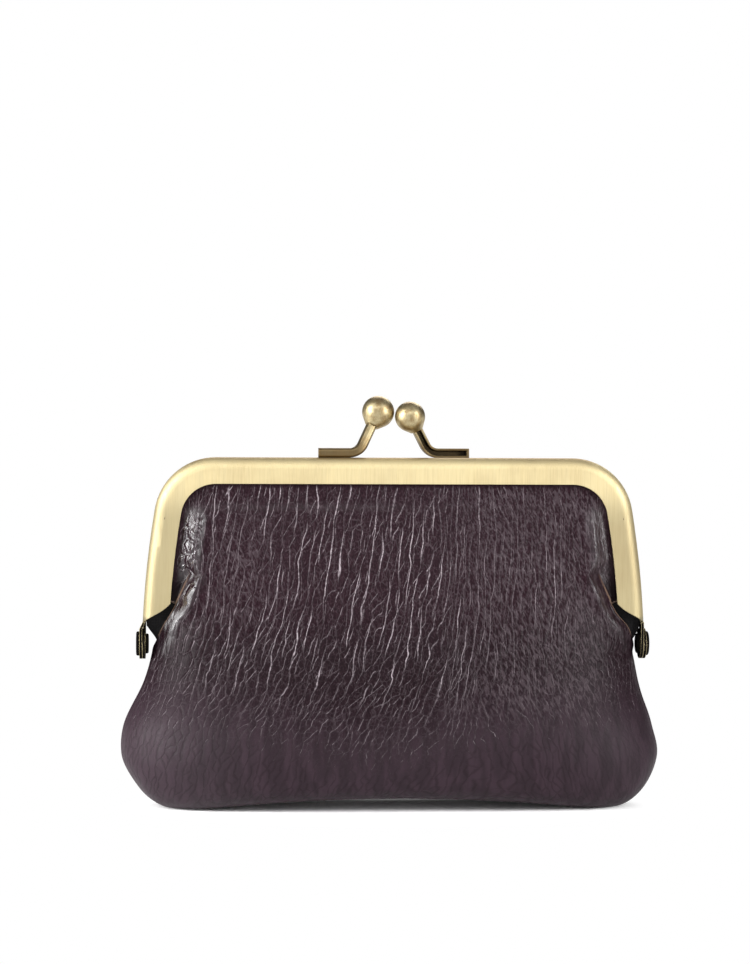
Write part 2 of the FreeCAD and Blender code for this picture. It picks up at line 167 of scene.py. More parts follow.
# Lamps: where each stands and its width and height in metres, and its power in watts
LAMPS = {
    "left_softbox": ((-0.60, -0.18, 0.16), (0.36, 0.5), 3.4),
    "left_strip": ((-0.42, -0.22, 0.22), (0.05, 0.5), 1.35),
    "right_softbox": ((0.62, -0.50, 0.25), (0.20, 0.5), 4.4),
    "front_softbox": ((-0.10, -0.66, 0.50), (0.7, 0.4), 1.8),
    "top_softbox": ((0.0, 0.05, 0.95), (0.9, 0.5), 0.3),
    "back_softbox": ((0.15, 0.66, 0.55), (0.6, 0.4), 3.2),
}
LAMP_AIM = (0.0, 0.0, 0.045)
# How bright the studio is in reflections, from in front of the purse at 0 to behind it at 1
STUDIO_LEVELS = {0.0: 0.92, 0.06: 0.92, 0.28: 0.78, 0.59: 0.34, 0.78: 0.10, 0.95: 0.10, 0.99: 0.25}
STUDIO_STRENGTH = 0.42
# Half the floor's width, and how far from the purse it runs out to white, in metres
FLOOR_HALF = 6.0
FLOOR_FADE = (0.055, 0.075)


def length(name, default_mm, description):
    """A length property, given in millimetres and kept in metres."""
    return bpy.props.FloatProperty(
        name=name, description=description, default=default_mm * MM, min=0.0, unit="LENGTH", precision=5)


def angle(name, default_degrees, description):
    """An angle property, given in degrees and kept in radians."""
    return bpy.props.FloatProperty(
        name=name, description=description, default=math.radians(default_degrees), subtype="ANGLE")


def colour(name, default, description):
    """A linear colour property."""
    return bpy.props.FloatVectorProperty(
        name=name, description=description, default=default, size=3, min=0.0, max=1.0, subtype="COLOR")


class PurseBag(bpy.types.PropertyGroup):
    leather_grid: length("Leather grid", 0.5, "Spacing of the leather's mesh")
    lining_grid: length("Lining grid", 1.2, "Spacing of the lining's mesh")
    crease_spacing: length("Crease spacing", 2.1, "Distance between the long creases of the grain")
    grain_depth: length("Grain depth", 0.06, "How deep the grain is pressed")
    leather: colour("Leather", (0.0162, 0.0060, 0.0094), "Plum brown of the leather")
    # Paler plum low down: painted light thrown up from the pale floor
    floor_lit_leather: colour("Low leather", (0.0290, 0.0170, 0.0235), "Paler plum of the leather low down")
    # The rim's plum also paints the soft sheen strokes
    rim: colour("Rim", (0.073, 0.054, 0.062), "Paler rim round each pebble")
    # Pale crease lines: partly the creases' own paler colour, partly painted highlight
    crease: colour("Crease", (0.50, 0.43, 0.465), "Pale line along a stretched crease")
    cut_edge: colour("Cut edge", (0.17, 0.11, 0.078), "Raw edge of the leather")
    lining: colour("Lining", (0.0065, 0.006, 0.0065), "Black lining cloth")
    paper: colour("Paper", (0.50, 0.38, 0.25), "Twisted paper cord")


class PurseBrass(bpy.types.PropertyGroup):
    brass: colour("Brass", (0.80, 0.685, 0.41), "Brushed antique brass")
    # The patina colour also paints a dark reflection on the brass's top and shade on the clasp feet
    patina_and_shade: colour("Patina", (0.30, 0.20, 0.09), "Brown that stays where the brush misses")
    black: colour("Black", (0.006, 0.0055, 0.005), "Blackened brass in the hinges and channels")
    brush_pitch: length("Brush pitch", 0.13, "Spacing of the brush lines")
    brush_depth: length("Brush depth", 0.004, "Depth of the brush lines")


class PurseStage(bpy.types.PropertyGroup):
    distance: length("Distance", 561.8, "From the camera to the purse's middle")
    camera_height: length("Camera height", 70.29, "Camera above the floor")
    turn: angle("Turn", 3.657, "How far the camera stands to the left")
    heading: angle("Heading", 3.249, "Direction in which the camera looks")
    tilt: angle("Tilt", -0.198, "How far the camera looks up")
    roll: angle("Roll", 0.167, "How far the camera leans to its left")
    lens: bpy.props.FloatProperty(name="Lens", description="Focal length in millimetres", default=99.06)
    floor: colour("Floor", (0.90, 0.90, 0.90), "Pale floor")


def clamped_weights(count, samples):
    """The weight of each of `count` poles at each sample, from 0 to 1, of a cubic that ends on its poles."""
    spans = count - 3
    knots = np.concatenate([np.zeros(3), np.arange(spans + 1.0), np.full(3, float(spans))])
    place = np.clip(np.asarray(samples, float) * spans, 0, spans - 1e-9)[:, None]
    weights = ((knots[:-1] <= place) & (place < knots[1:])).astype(float)
    for degree in range(1, 4):
        n = weights.shape[1] - 1
        start, end = knots[:n], knots[degree + 1:degree + 1 + n]
        rise, fall = knots[degree:degree + n] - start, end - knots[1:1 + n]
        up = np.divide(place - start, rise, out=np.zeros((len(place), n)), where=rise > 0)
        down = np.divide(end - place, fall, out=np.zeros((len(place), n)), where=fall > 0)
        weights = up * weights[:, :-1] + down * weights[:, 1:]
    return weights


def smooth(value, low, high):
    """0 below low, 1 above high, and an even S between."""
    t = np.clip((value - low) / (high - low), 0, 1)
    return t * t * (3 - 2 * t)


def band(value, rise, fall):
    """1 between two limits and 0 outside them, each limit a stretch with an even S."""
    return smooth(value, *rise) * (1 - smooth(value, *fall))


def spot(x, z, middle, reach):
    """1 in the middle of a spot on the panel, and less away from it."""
    return np.exp(-((x - middle[0]) / reach[0]) ** 2 - ((z - middle[1]) / reach[1]) ** 2)


def leg_half_width(height):
    """Half the frame's outer width at a height on the legs."""
    return LEG_X + np.sqrt(LEG_RADIUS ** 2 - (np.minimum(height, CORNER_Z) - LEG_Z) ** 2)


def outline_height(x, inset):
    """How high the frame's outline, moved in by `inset`, stands at x; past it, the corner's middle."""
    radius = CORNER_RADIUS - inset
    over = np.clip(np.abs(x) - CORNER_X, 0, radius)
    return CORNER_Z + np.sqrt(radius ** 2 - over ** 2)


def stations():
    """The panel's sections from the seam under the base up into the channel: height, half width, depth,
    squareness, lean of the wall in degrees, share of the base's arch, and whether the frame holds it."""
    belly, deep = BAG_WIDTH / 2, BAG_DEPTH / 2
    seam, base, flat, waist = BASE_SEAM / 2, BASE_WIDTH / 2, BASE_DEPTH / 2, WAIST_DEPTH / 2

    def low(part, power, lean, arch):
        swell = (1 - (1 - part) ** 2) ** 0.7
        return (-BASE_SINK + part * (BELLY_HEIGHT + BASE_SINK), base + swell * (belly - base),
                flat + swell * (deep - flat), power, lean, arch, False)

    def high(part, power):
        draw = (1 - math.cos(math.pi * part)) / 2
        return (BELLY_HEIGHT + part * (HINGE_HEIGHT - BELLY_HEIGHT), belly + draw * (WAIST - belly),
                deep + part ** 2 * (waist - deep), power, 0, 0, False)

    def held(height):
        bulge = (waist - PANEL_FACE) * ((LIP - height) / (LIP - HINGE_HEIGHT)) ** 0.8 if height < LIP else 0
        return (height, float(leg_half_width(height)) - PANEL_EDGE, bulge, 1.0, 0, 0, True)

    under = [(-BASE_SINK, seam, -SEAM_TRIM, 1.0, 90, 1.0, False),
             (-BASE_SINK, (seam + base) / 2, flat / 2, 0.7, 90, 1.0, False)]
    wall = [low(0, 0.62, 75, 1.0), low(0.38, 0.7, 20, 0.6), low(1, 0.8, 0, 0)]
    drawn = [high(0.33, 0.84), high(0.67, 0.88), high(1, 0.92)]
    neck = [held(MOUTH + part * (LIP - MOUTH)) for part in (0, 0.12, 0.28, 0.52, 0.76, 1)]
    return under + wall + drawn + neck + [held(FRAME_TOP)]


def section_point(station, inset, angle):
    """A pole of a panel's section, `inset` behind the leather's face; the angle runs from right to left."""
    height, half_width, depth, power, lean, arch_share, is_held = station
    side = 1 if angle <= 90 else -1
    near = math.radians(min(angle, 180 - angle))
    across = inset * math.cos(math.radians(lean))
    if is_held:
        lip = float(leg_half_width(height)) - FACE_HEIGHT - LIP_CLEARANCE
        start = math.radians(LIP_ANGLE)
        part = near / start
        bulge_angle = max(0, (near - start) / (math.pi / 2 - start)) * math.pi / 2
        x = half_width + part * (lip - half_width) if part < 1 else lip * math.cos(bulge_angle)
        return side * x, -(PANEL_FACE - inset + depth * math.sin(bulge_angle)), height
    x = (half_width - across) * math.cos(near) ** power
    y = (depth + SEAM_TRIM - across) * math.sin(near) ** power - SEAM_TRIM
    arch = max(0, 1 - (2 * x / ARCH_WIDTH) ** 2)
    return side * x, -y, height + inset * math.sin(math.radians(lean)) + arch_share * ARCH_RISE * arch


def gaps(skin, axis):
    """How far apart neighbouring points of a skin lie, along one way of it."""
    return np.linalg.norm(np.diff(skin, axis=axis), axis=2)


def even_samples(skin, axis, count):
    """Places along one way of a skin that lie about evenly apart."""
    steps = gaps(skin, axis).mean(axis=1 - axis)
    run = np.concatenate([[0], np.cumsum(steps)])
    return np.interp(np.linspace(0, run[-1], count), run, np.linspace(0, 1, len(run)))


def slit_line(height):
    """Half width of the line along which a panel's edge rolls, beside and below its jaw's leg."""
    return np.interp(height, SLIT_HEIGHTS, SLIT_HALF_WIDTHS)


def fit_to_frame(points, is_lining):
    """Bends the skin's top to the frame's corners, draws its edge in at the side slits and sets it on the
    floor. The leather rolls beside the slits, and the lining's hem runs out past it."""
    x, y, z = points[..., 0], points[..., 1], points[..., 2]
    lip_here = outline_height(x, FACE_HEIGHT + BULGE_TOP_GAP)
    top_here = outline_height(x, PANEL_EDGE)
    below = MOUTH + (z - MOUTH) * (lip_here - MOUTH) / (LIP - MOUTH)
    above = lip_here + (z - LIP) * (top_here - lip_here) / (FRAME_TOP - LIP)
    z = np.where(z > LIP, above, np.where(z > MOUTH, below, z))
    edge = np.abs(x).max(axis=1, keepdims=True)
    line = slit_line(z)
    in_slit = band(z, SLIT_FOOT, SLIT_HEAD)
    near_edge = np.clip((np.abs(x) - SLIT_DRAWS_FROM) / (edge - SLIT_DRAWS_FROM), 0, 1) ** 1.3
    drawn = np.maximum(edge - line, 0) * in_slit * near_edge
    inner_lip = leg_half_width(z) - FACE_HEIGHT - LIP_CLEARANCE
    beside_lip = band(np.abs(x), (inner_lip - TUCK_WIDTH, inner_lip), (inner_lip, edge))
    tuck = TUCK * np.interp(z, TUCK_HEIGHTS, TUCK_SHARES) * beside_lip
    if is_lining:
        hem = smooth(edge - np.abs(x), HEM_WIDTH, 0.0) * smooth(z, *HEM_FOOT) * in_slit
        x = x - np.sign(x) * (drawn + tuck - hem * (HEM_HALF_WIDTH - line))
    else:
        x = x - np.sign(x) * (drawn + tuck)
        inside = line - np.abs(x)
        roll = ROLL_HEIGHT * np.exp(-((inside - ROLL_INSIDE) / ROLL_WIDTH) ** 2)
        dip = EDGE_DIP * smooth(inside, 0.4, -0.4) * (1 - smooth(z, *DIP_HEAD))
        y = y - (roll - dip) * band(z, ROLL_FOOT, ROLL_HEAD)
    y = np.minimum(y, -SEAM_CLEARANCE)
    z = np.maximum(z, FLOOR_CLEARANCE)
    return np.stack([x, y, z], axis=2)


def panel_skin(inset, grid, is_lining):
    """The front half of the bag as rows of points in millimetres, from the base seam up and right to left."""
    angles = SWEEP + [180 - angle for angle in SWEEP[-2::-1]]
    poles = np.array([[section_point(station, inset, angle) for angle in angles] for station in stations()])

    def at(rows, columns):
        up, round_ = clamped_weights(len(poles), rows), clamped_weights(len(angles), columns)
        return np.einsum("ai,bj,ijk->abk", up, round_, poles)

    fine = np.linspace(0, 1, 400)
    draft = fit_to_frame(at(fine, fine), is_lining)
    tall = gaps(draft, 0).mean(axis=1).sum()
    wide = gaps(draft, 1).mean(axis=0).sum()
    rows = even_samples(draft, 0, 4 * round(tall / grid / 4) + 1)
    columns = even_samples(draft, 1, 4 * round(wide / grid / 4) + 1)
    return fit_to_frame(at(rows, columns), is_lining)


def skin_normals(points):
    """Unit normals of a skin, away from the bag's inside."""
    normal = np.cross(np.gradient(points, axis=0), np.gradient(points, axis=1))
    size = np.linalg.norm(normal, axis=2, keepdims=True)
    return normal / np.maximum(size, 1e-9)


def border(rows, columns):
    """Indices round the edge of a grid, one way round."""
    index = np.arange(rows * columns).reshape(rows, columns)
    return np.concatenate([index[0, :-1], index[:-1, -1], index[-1, :0:-1], index[:0:-1, 0]])


def grid_faces(rows, columns, start, flip):
    """Quads of a grid whose points begin at `start`."""
    index = start + np.arange(rows * columns).reshape(rows, columns)
    corners = [index[:-1, :-1], index[:-1, 1:], index[1:, 1:], index[1:, :-1]]
    quads = np.stack(corners, axis=2).reshape(-1, 4)
    return (quads[:, ::-1] if flip else quads).tolist()


def shell(name, skin, thickness, step):
    """A closed sheet: the skin outside, every `step` points of it `thickness` behind, and a rim. Each of the
    three has its own material."""
    rows, columns, _ = skin.shape
    inner = (skin - skin_normals(skin) * thickness)[::step, ::step]
    inner_rows, inner_columns, _ = inner.shape
    offset = rows * columns
    outer_faces = grid_faces(rows, columns, 0, True)
    inner_faces = grid_faces(inner_rows, inner_columns, offset, False)
    outer_edge = border(rows, columns).tolist()
    inner_edge = (offset + border(inner_rows, inner_columns)).tolist()
    rim = []
    for i, here in enumerate(inner_edge):
        ahead = inner_edge[(i + 1) % len(inner_edge)]
        span = [outer_edge[(i * step + k) % len(outer_edge)] for k in range(step + 1)]
        half = step // 2
        rim += [[span[k], span[k + 1], here] for k in range(half)]
        rim.append([span[half], ahead, here])
        rim += [[span[k], span[k + 1], ahead] for k in range(half, step)]
    mesh = bpy.data.meshes.new(name)
    points = np.concatenate([skin.reshape(-1, 3), inner.reshape(-1, 3)]) * MM
    mesh.from_pydata(points.tolist(), [], outer_faces + inner_faces + rim)
    kinds = [0] * len(outer_faces) + [1] * len(inner_faces) + [2] * len(rim)
    mesh.polygons.foreach_set("material_index", kinds)
    mesh.polygons.foreach_set("use_smooth", [True] * len(mesh.polygons))
    mesh.set_sharp_from_angle(angle=math.radians(50))
    mesh.update()
    return mesh


def settle(mesh, side):
    """Puts a mesh of the front half on its side of the purse, lets the filled belly hang a little to the left
    and leaves the waist fuller at the right."""
    points = np.zeros(len(mesh.vertices) * 3)
    mesh.vertices.foreach_get("co", points)
    points = points.reshape(-1, 3) * ((1, 1, 1) if side == "front" else (-1, -1, 1))
    height, to_right = points[:, 2] / MM, np.tanh(points[:, 0] / MM / 20)
    sway = smooth(height - 3 * (1 + to_right), 4, 11) * (1 - smooth(height - 2.5 * to_right, 19, 29))
    points[:, 0] -= BELLY_SWAY * MM * sway
    aside = points[:, 0] / MM
    fuller = band(aside, (38, 48), (50.5, 52.5)) * band(height, (32, 35), (37.5, 41))
    points[:, 0] += WAIST_FILL * MM * fuller
    mesh.vertices.foreach_set("co", points.ravel())
    mesh.update()


def add_piece(name, mesh, materials):
    """An object for a mesh, with its materials."""
    piece = bpy.data.objects.new(name, mesh)
    bpy.context.scene.collection.objects.link(piece)
    for material in materials:
        mesh.materials.append(material)
    return piece


class NodeBench:
    """Adds nodes to one tree; a value that is a socket is linked, and any other is set."""

    def __init__(self, tree):
        self.tree = tree

    def feed(self, node, inputs):
        for key, value in inputs.items():
            if isinstance(value, bpy.types.NodeSocket):
                self.tree.links.new(value, node.inputs[key])
            else:
                node.inputs[key].default_value = value

    def add(self, kind, inputs=None, output=0, **settings):
        node = self.tree.nodes.new(kind)
        for key, value in settings.items():
            setattr(node, key, value)
        self.feed(node, inputs or {})
        return node if output is None else node.outputs[output]

    def place(self):
        return self.add("ShaderNodeTexCoord", output="Object")

    def axes(self, vector):
        return self.add("ShaderNodeSeparateXYZ", {0: vector}, output=None).outputs

    def math(self, operation, *values):
        return self.add("ShaderNodeMath", dict(enumerate(values)), operation=operation)

    def product(self, first, *others):
        for other in others:
            first = self.math("MULTIPLY", first, other)
        return first

    def vector(self, operation, *values):
        output = "Value" if operation in ("DOT_PRODUCT", "LENGTH") else "Vector"
        return self.add("ShaderNodeVectorMath", dict(enumerate(values)), output, operation=operation)

    def largest(self, first, *others):
        for other in others:
            first = self.math("MAXIMUM", first, other)
        return first

    def spread(self, value, start, end, low, high, **settings):
        return self.add("ShaderNodeMapRange", {0: value, 1: start, 2: end, 3: low, 4: high}, **settings)

    def ramp(self, value, start, end, low=0.0, high=1.0):
        return self.spread(value, start, end, low, high, interpolation_type="SMOOTHSTEP")

    def fall(self, value, start, end):
        return self.ramp(value, start, end, 1.0, 0.0)

    def noise(self, vector, scale, detail=2.0, roughness=0.5):
        inputs = {"Vector": vector, "Scale": scale, "Detail": detail, "Roughness": roughness}
        return self.add("ShaderNodeTexNoise", inputs)

    def stretched_noise(self, vector, stretch, scale, detail=2.0, roughness=0.5):
        return self.noise(self.vector("MULTIPLY", vector, stretch), scale, detail, roughness)

    def voronoi(self, feature, vector, scale, dimensions="2D", randomness=1.0, output=0):
        inputs = {"Vector": vector, "Scale": scale, "Randomness": randomness}
        kinds = {"feature": feature, "voronoi_dimensions": dimensions}
        return self.add("ShaderNodeTexVoronoi", inputs, output, **kinds)

    def bump(self, height, strength, distance):
        return self.add("ShaderNodeBump", {"Height": height, "Strength": strength, "Distance": distance})

    def mix(self, factor, *colours):
        first, second = (c if isinstance(c, bpy.types.NodeSocket) else (*c, 1.0) for c in colours)
        return self.add("ShaderNodeMix", {0: factor, 6: first, 7: second}, output=2, data_type="RGBA")


def shade(colour, factor):
    """A colour made darker or paler by a factor."""
    return tuple(factor * part for part in colour)


def new_material(name):
    """An empty node material, its bench and its shader; the shader is linked to the output."""
    material = bpy.data.materials.new(name)
    material.use_nodes = True
    material.node_tree.nodes.clear()
    bench = NodeBench(material.node_tree)
    shader = bench.add("ShaderNodeBsdfPrincipled", output=None)
    bench.add("ShaderNodeOutputMaterial", {"Surface": shader.outputs[0]}, output=None)
    return material, bench, shader


def grain(bench, cells):
    """The grain from its cell coordinates: long upright creases, millimetres from a pebble's edge, how
    upright that edge is, and which way it slants."""

    def wander(scale, detail, reach):
        noise = bench.add("ShaderNodeTexNoise", {"Vector": cells, "Scale": scale, "Detail": detail}, output=1)
        return bench.vector("MULTIPLY", bench.vector("SUBTRACT", noise, (0.5, 0.5, 0.5)), reach)

    kinks = bench.vector("ADD", wander(0.33, 2.0, (1.9, 1.0, 0.0)), wander(1.9, 1.0, (0.26, 0.2, 0.0)))
    warped = bench.vector("ADD", cells, kinks)
    column, row, _ = bench.axes(warped)
    from_line = bench.product(bench.math("PINGPONG", column, 0.5), PEBBLE_MM[0])
    lot = bench.add("ShaderNodeCombineXYZ", {0: bench.product(bench.math("ROUND", column), 3.7),
                                             1: bench.product(row, 0.4)})
    kept = bench.ramp(bench.noise(lot, 1.0, 1.0), 0.40, 0.60)
    crease = bench.product(bench.fall(from_line, 0.0, 0.15), kept)
    nearest, next_one = (bench.voronoi(feature, warped, 1.35, "2D", 0.85, "Position")
                         for feature in ("F1", "F2"))
    apart = bench.vector("SUBTRACT", next_one, nearest)
    middle = bench.vector("MULTIPLY", bench.vector("ADD", nearest, next_one), (0.5, 0.5, 0.0))
    aside = bench.vector("DOT_PRODUCT", bench.vector("SUBTRACT", warped, middle), apart)
    slope = bench.vector("DIVIDE", apart, (*PEBBLE_MM, 1.0))
    steep = bench.vector("LENGTH", slope)
    from_edge = bench.math("DIVIDE", bench.math("ABSOLUTE", aside), steep)
    slope_across, slope_up, _ = bench.axes(slope)
    upright = bench.math("DIVIDE", bench.math("ABSOLUTE", slope_across), steep)
    slant = bench.math("DIVIDE", bench.product(slope_across, slope_up), bench.product(steep, steep))
    return crease, from_edge, upright, slant


def press_grain(piece, depth):
    """Presses the grain into the piece's mesh, along its normals."""
    tree = bpy.data.node_groups.new("press_grain", "GeometryNodeTree")
    for way in ("INPUT", "OUTPUT"):
        tree.interface.new_socket("Geometry", in_out=way, socket_type="NodeSocketGeometry")
    bench = NodeBench(tree)

    def attribute(name, kind):
        return bench.add("GeometryNodeInputNamedAttribute", {"Name": name}, data_type=kind)

    _, from_edge, _, _ = grain(bench, attribute("grain_cells", "FLOAT_VECTOR"))
    dent = bench.ramp(from_edge, 0.0, 0.6, -1.0, 0.0)
    height = bench.product(dent, attribute("relief_zone", "FLOAT"), depth)
    normal = bench.add("GeometryNodeInputNormal")
    offset = bench.add("ShaderNodeVectorMath", {0: normal, "Scale": height}, operation="SCALE")
    source = bench.add("NodeGroupInput")
    moved = bench.add("GeometryNodeSetPosition", {"Geometry": source, "Offset": offset})
    bench.add("NodeGroupOutput", {0: moved}, output=None)
    piece.modifiers.new("press_grain", "NODES").node_group = tree
    evaluated = piece.evaluated_get(bpy.context.evaluated_depsgraph_get())
    pressed = bpy.data.meshes.new_from_object(evaluated)
    piece.modifiers.clear()
    plain, name = piece.data, piece.data.name
    piece.data = pressed
    bpy.data.meshes.remove(plain)
    pressed.name = name
    bpy.data.node_groups.remove(tree)


def grain_cells(skin, spacing):
    """How far each point of a skin lies to the right, and its place in the grain's cells. They lean as the
    hide is stretched, and stand closer at the right."""
    run = np.concatenate([np.zeros((len(skin), 1)), np.cumsum(gaps(skin, 1), axis=1)], axis=1)
    run = run[:, run.shape[1] // 2][:, None] - run
    steps = gaps(skin, 0).mean(axis=1)
    climb = np.concatenate([[0], np.cumsum(steps)])[:, None] + np.zeros_like(run)
    pebble = PEBBLE_MM[1] * (0.72 + 0.5 * smooth(skin[..., 2].mean(axis=1), 20, 42))
    rows = np.concatenate([[0], np.cumsum(steps / pebble[1:])])[:, None] + np.zeros_like(run)
    lean = (0.18 - 0.14 * smooth(run, -15, 48)) * (climb - 60) - 0.002 * (climb - 60) ** 2
    lean = lean + 0.007 * smooth(run, 8, 32) * np.minimum(climb - 55, 0) ** 2
    closer = run + 0.3 * np.maximum(run - 10, 0)
    return run, np.stack([(closer - lean) / spacing, rows, np.zeros_like(run)], axis=2)


def grain_zones(skin, run):
    """How strong each mark of the grain is at each point of a skin, from 0 to 1; some stand for painted
    highlight and painted sheen. Beside these, highlight_slant is the way in which the painted highlight
    strokes slant, and slit holds the distance inside the slit's line, whether the point is beside a slit, and
    how polished it is."""
    x, z = skin[..., 0], skin[..., 2]
    from_lip = np.minimum(leg_half_width(z) - FACE_HEIGHT - np.abs(x), outline_height(x, FACE_HEIGHT) - z)
    clear = np.where(z > TIP_HEIGHT, smooth(from_lip, 0.0, 1.4), 1.0)
    clear = clear * smooth(z, 0.3, 3.0) * smooth(-skin[..., 1], 0.2, 2.0)
    inside = slit_line(z) - np.abs(x)
    roll = np.exp(-((inside - 1.6) / ROLL_WIDTH) ** 2) * band(z, (30, 36), (46, 51))
    right = smooth(run, 4, 24)
    calm = spot(x, z, *CALM_SPOT)
    lowest = 19 - 8 * np.exp(-((x + 6) / 24) ** 2)

    # Pale creases are strongest at the left, toward the lamps: partly painted highlight
    crease = clear * smooth(z, 18, 30) * (1 - 0.75 * smooth(np.abs(x), 30, 46)) * (1 - 0.75 * right)
    crease = np.maximum(crease * (1 - roll), 0.9 * spot(x, z, *CREASED_SPOT)) * (1 - 0.85 * calm)
    pebble = clear * (1 - 0.85 * roll) * smooth(z, lowest - 7, lowest + 9) * (1 - 0.5 * smooth(x, 44, 54))
    # Soft pale strokes on the right half, in the calm spot and on the right roll: painted sheen on the pebble
    # tops
    soft = clear * right * smooth(z, 14, 24) * (1 - smooth(np.abs(x), 40, 48))
    soft = np.maximum(np.maximum(soft, calm), right * roll)
    relief = clear * (1 - (0.75 - 0.45 * right) * roll) * (0.65 + 0.35 * smooth(z, 10, 26))
    relief = relief * (1 - 0.5 * smooth(x, 30, 50))
    low = 1 - smooth(z, lowest - 6, lowest + 15)
    by_lip = band(from_lip, (0.6, 1.6), (4.0, 6.5)) * band(z, (45, 51), (60, 65))
    polish = np.maximum(roll, by_lip) * (1 - 0.5 * smooth(x, -5, 5))
    low_polish = 0.15 + 0.15 * smooth(-x, 20, 45) + 0.05 * smooth(x, 30, 48)
    polish = np.maximum(polish, low_polish * (1 - smooth(z, 14, 26)))
    beside_slit = band(z, (35.5, 36.5), (45.5, 50))
    slit = np.stack([inside, beside_slit, polish], axis=2)
    return {"crease_zone": crease, "pebble_zone": pebble, "painted_sheen_zone": soft, "relief_zone": relief,
            "low_zone": low, "highlight_slant": 2 * right - 1, "slit": slit}


def lay_out_grain(mesh, skin, spacing):
    """Stores the grain's cells and zones at each point of a mesh; the points behind the skin get zeros."""
    run, cells = grain_cells(skin, spacing)
    for name, values in {"grain_cells": cells, **grain_zones(skin, run)}.items():
        width = values.size // run.size
        padded = np.zeros((len(mesh.vertices), width), np.float32)
        padded[:run.size] = values.reshape(-1, width)
        kind, field = ("FLOAT_VECTOR", "vector") if width == 3 else ("FLOAT", "value")
        mesh.attributes.new(name, kind, "POINT").data.foreach_set(field, padded.ravel())


def hide_marks(bench):
    """The leather's marks as sockets of its tree, from what the mesh stores and from noise."""

    def attribute(name, output="Fac"):
        return bench.add("ShaderNodeAttribute", output=output, attribute_name=name)

    hide = SimpleNamespace(pebble_zone=attribute("pebble_zone"), low_zone=attribute("low_zone"))
    hide.place = bench.place()
    hide.across, hide.back, hide.up = bench.axes(hide.place)
    hide.inside, hide.beside_slit, hide.polish = bench.axes(attribute("slit", "Vector"))
    hide.mottle = bench.stretched_noise(hide.place, (1.0, 1.0, 0.4), 700.0, 3.0)
    hide.scratch = bench.stretched_noise(hide.place, (1.0, 1.0, 0.45), 3400.0, 2.0, 0.6)
    hide.fold = bench.stretched_noise(hide.place, (1.0, 1.0, 0.13), 520.0)

    cells, painted_sheen_zone = attribute("grain_cells", "Vector"), attribute("painted_sheen_zone")
    crease, from_edge, upright, slant = grain(bench, cells)
    hide.crease = bench.product(crease, attribute("crease_zone"))
    level = bench.product(bench.ramp(upright, 0.45, 0.9, 0.9, 0.0), hide.low_zone)
    hide.rim = bench.product(bench.fall(from_edge, 0.0, 0.45), attribute("relief_zone"),
                             bench.math("SUBTRACT", 1.0, level))

    # Soft slanted strokes in the rim's plum: painted sheen on the pebble tops
    slanted = bench.add("ShaderNodeCombineXYZ", {0: bench.math("MULTIPLY_ADD", hide.up, 0.4, hide.across),
                                                 1: hide.back, 2: bench.product(hide.up, 0.3)})
    hide.soft = bench.product(bench.ramp(bench.noise(slanted, 1900.0, 1.0), 0.49, 0.63, 0.0, 0.55), painted_sheen_zone)

    # The pale net picks out pebble edges that slant one way on each half: painted highlights on one side of
    # each pebble
    stroke = bench.math("MULTIPLY_ADD", hide.pebble_zone, 0.4, bench.noise(cells, 1.1, 1.0))
    net = bench.product(
        bench.fall(from_edge, 0.0, 0.11),
        bench.ramp(stroke, 0.62, 0.82),
        bench.ramp(hide.pebble_zone, 0.0, 0.25),
        bench.ramp(upright, 0.5, 0.95, 0.05, 1.0),
        bench.ramp(bench.product(slant, attribute("highlight_slant")), -0.2, 0.2, 0.15, 1.0),
        bench.ramp(bench.noise(hide.place, 160.0), 0.35, 0.65, 0.25, 0.62),
        bench.ramp(painted_sheen_zone, 0.0, 1.0, 1.0, 0.5))
    flecks = bench.ramp(hide.scratch, 0.35, 0.6, 0.3, 1.0)
    lines = bench.product(bench.largest(hide.crease, net), flecks)
    fine = bench.voronoi("DISTANCE_TO_EDGE", bench.vector("MULTIPLY", cells, (2.3, 2.6, 0.0)), 1.0)
    fine = bench.product(bench.fall(fine, 0.0, 0.11), hide.pebble_zone,
                         bench.ramp(hide.mottle, 0.40, 0.65, 0.0, 0.07))
    fuzz = bench.product(bench.ramp(hide.scratch, 0.52, 0.72, 0.0, 0.09), hide.pebble_zone,
                         bench.ramp(from_edge, 0.1, 0.8, 1.0, 0.2))
    hide.pale = bench.product(bench.largest(lines, fine, fuzz), bench.ramp(hide.up, *MARKS_FADE, 0.75, 1.0))
    return hide


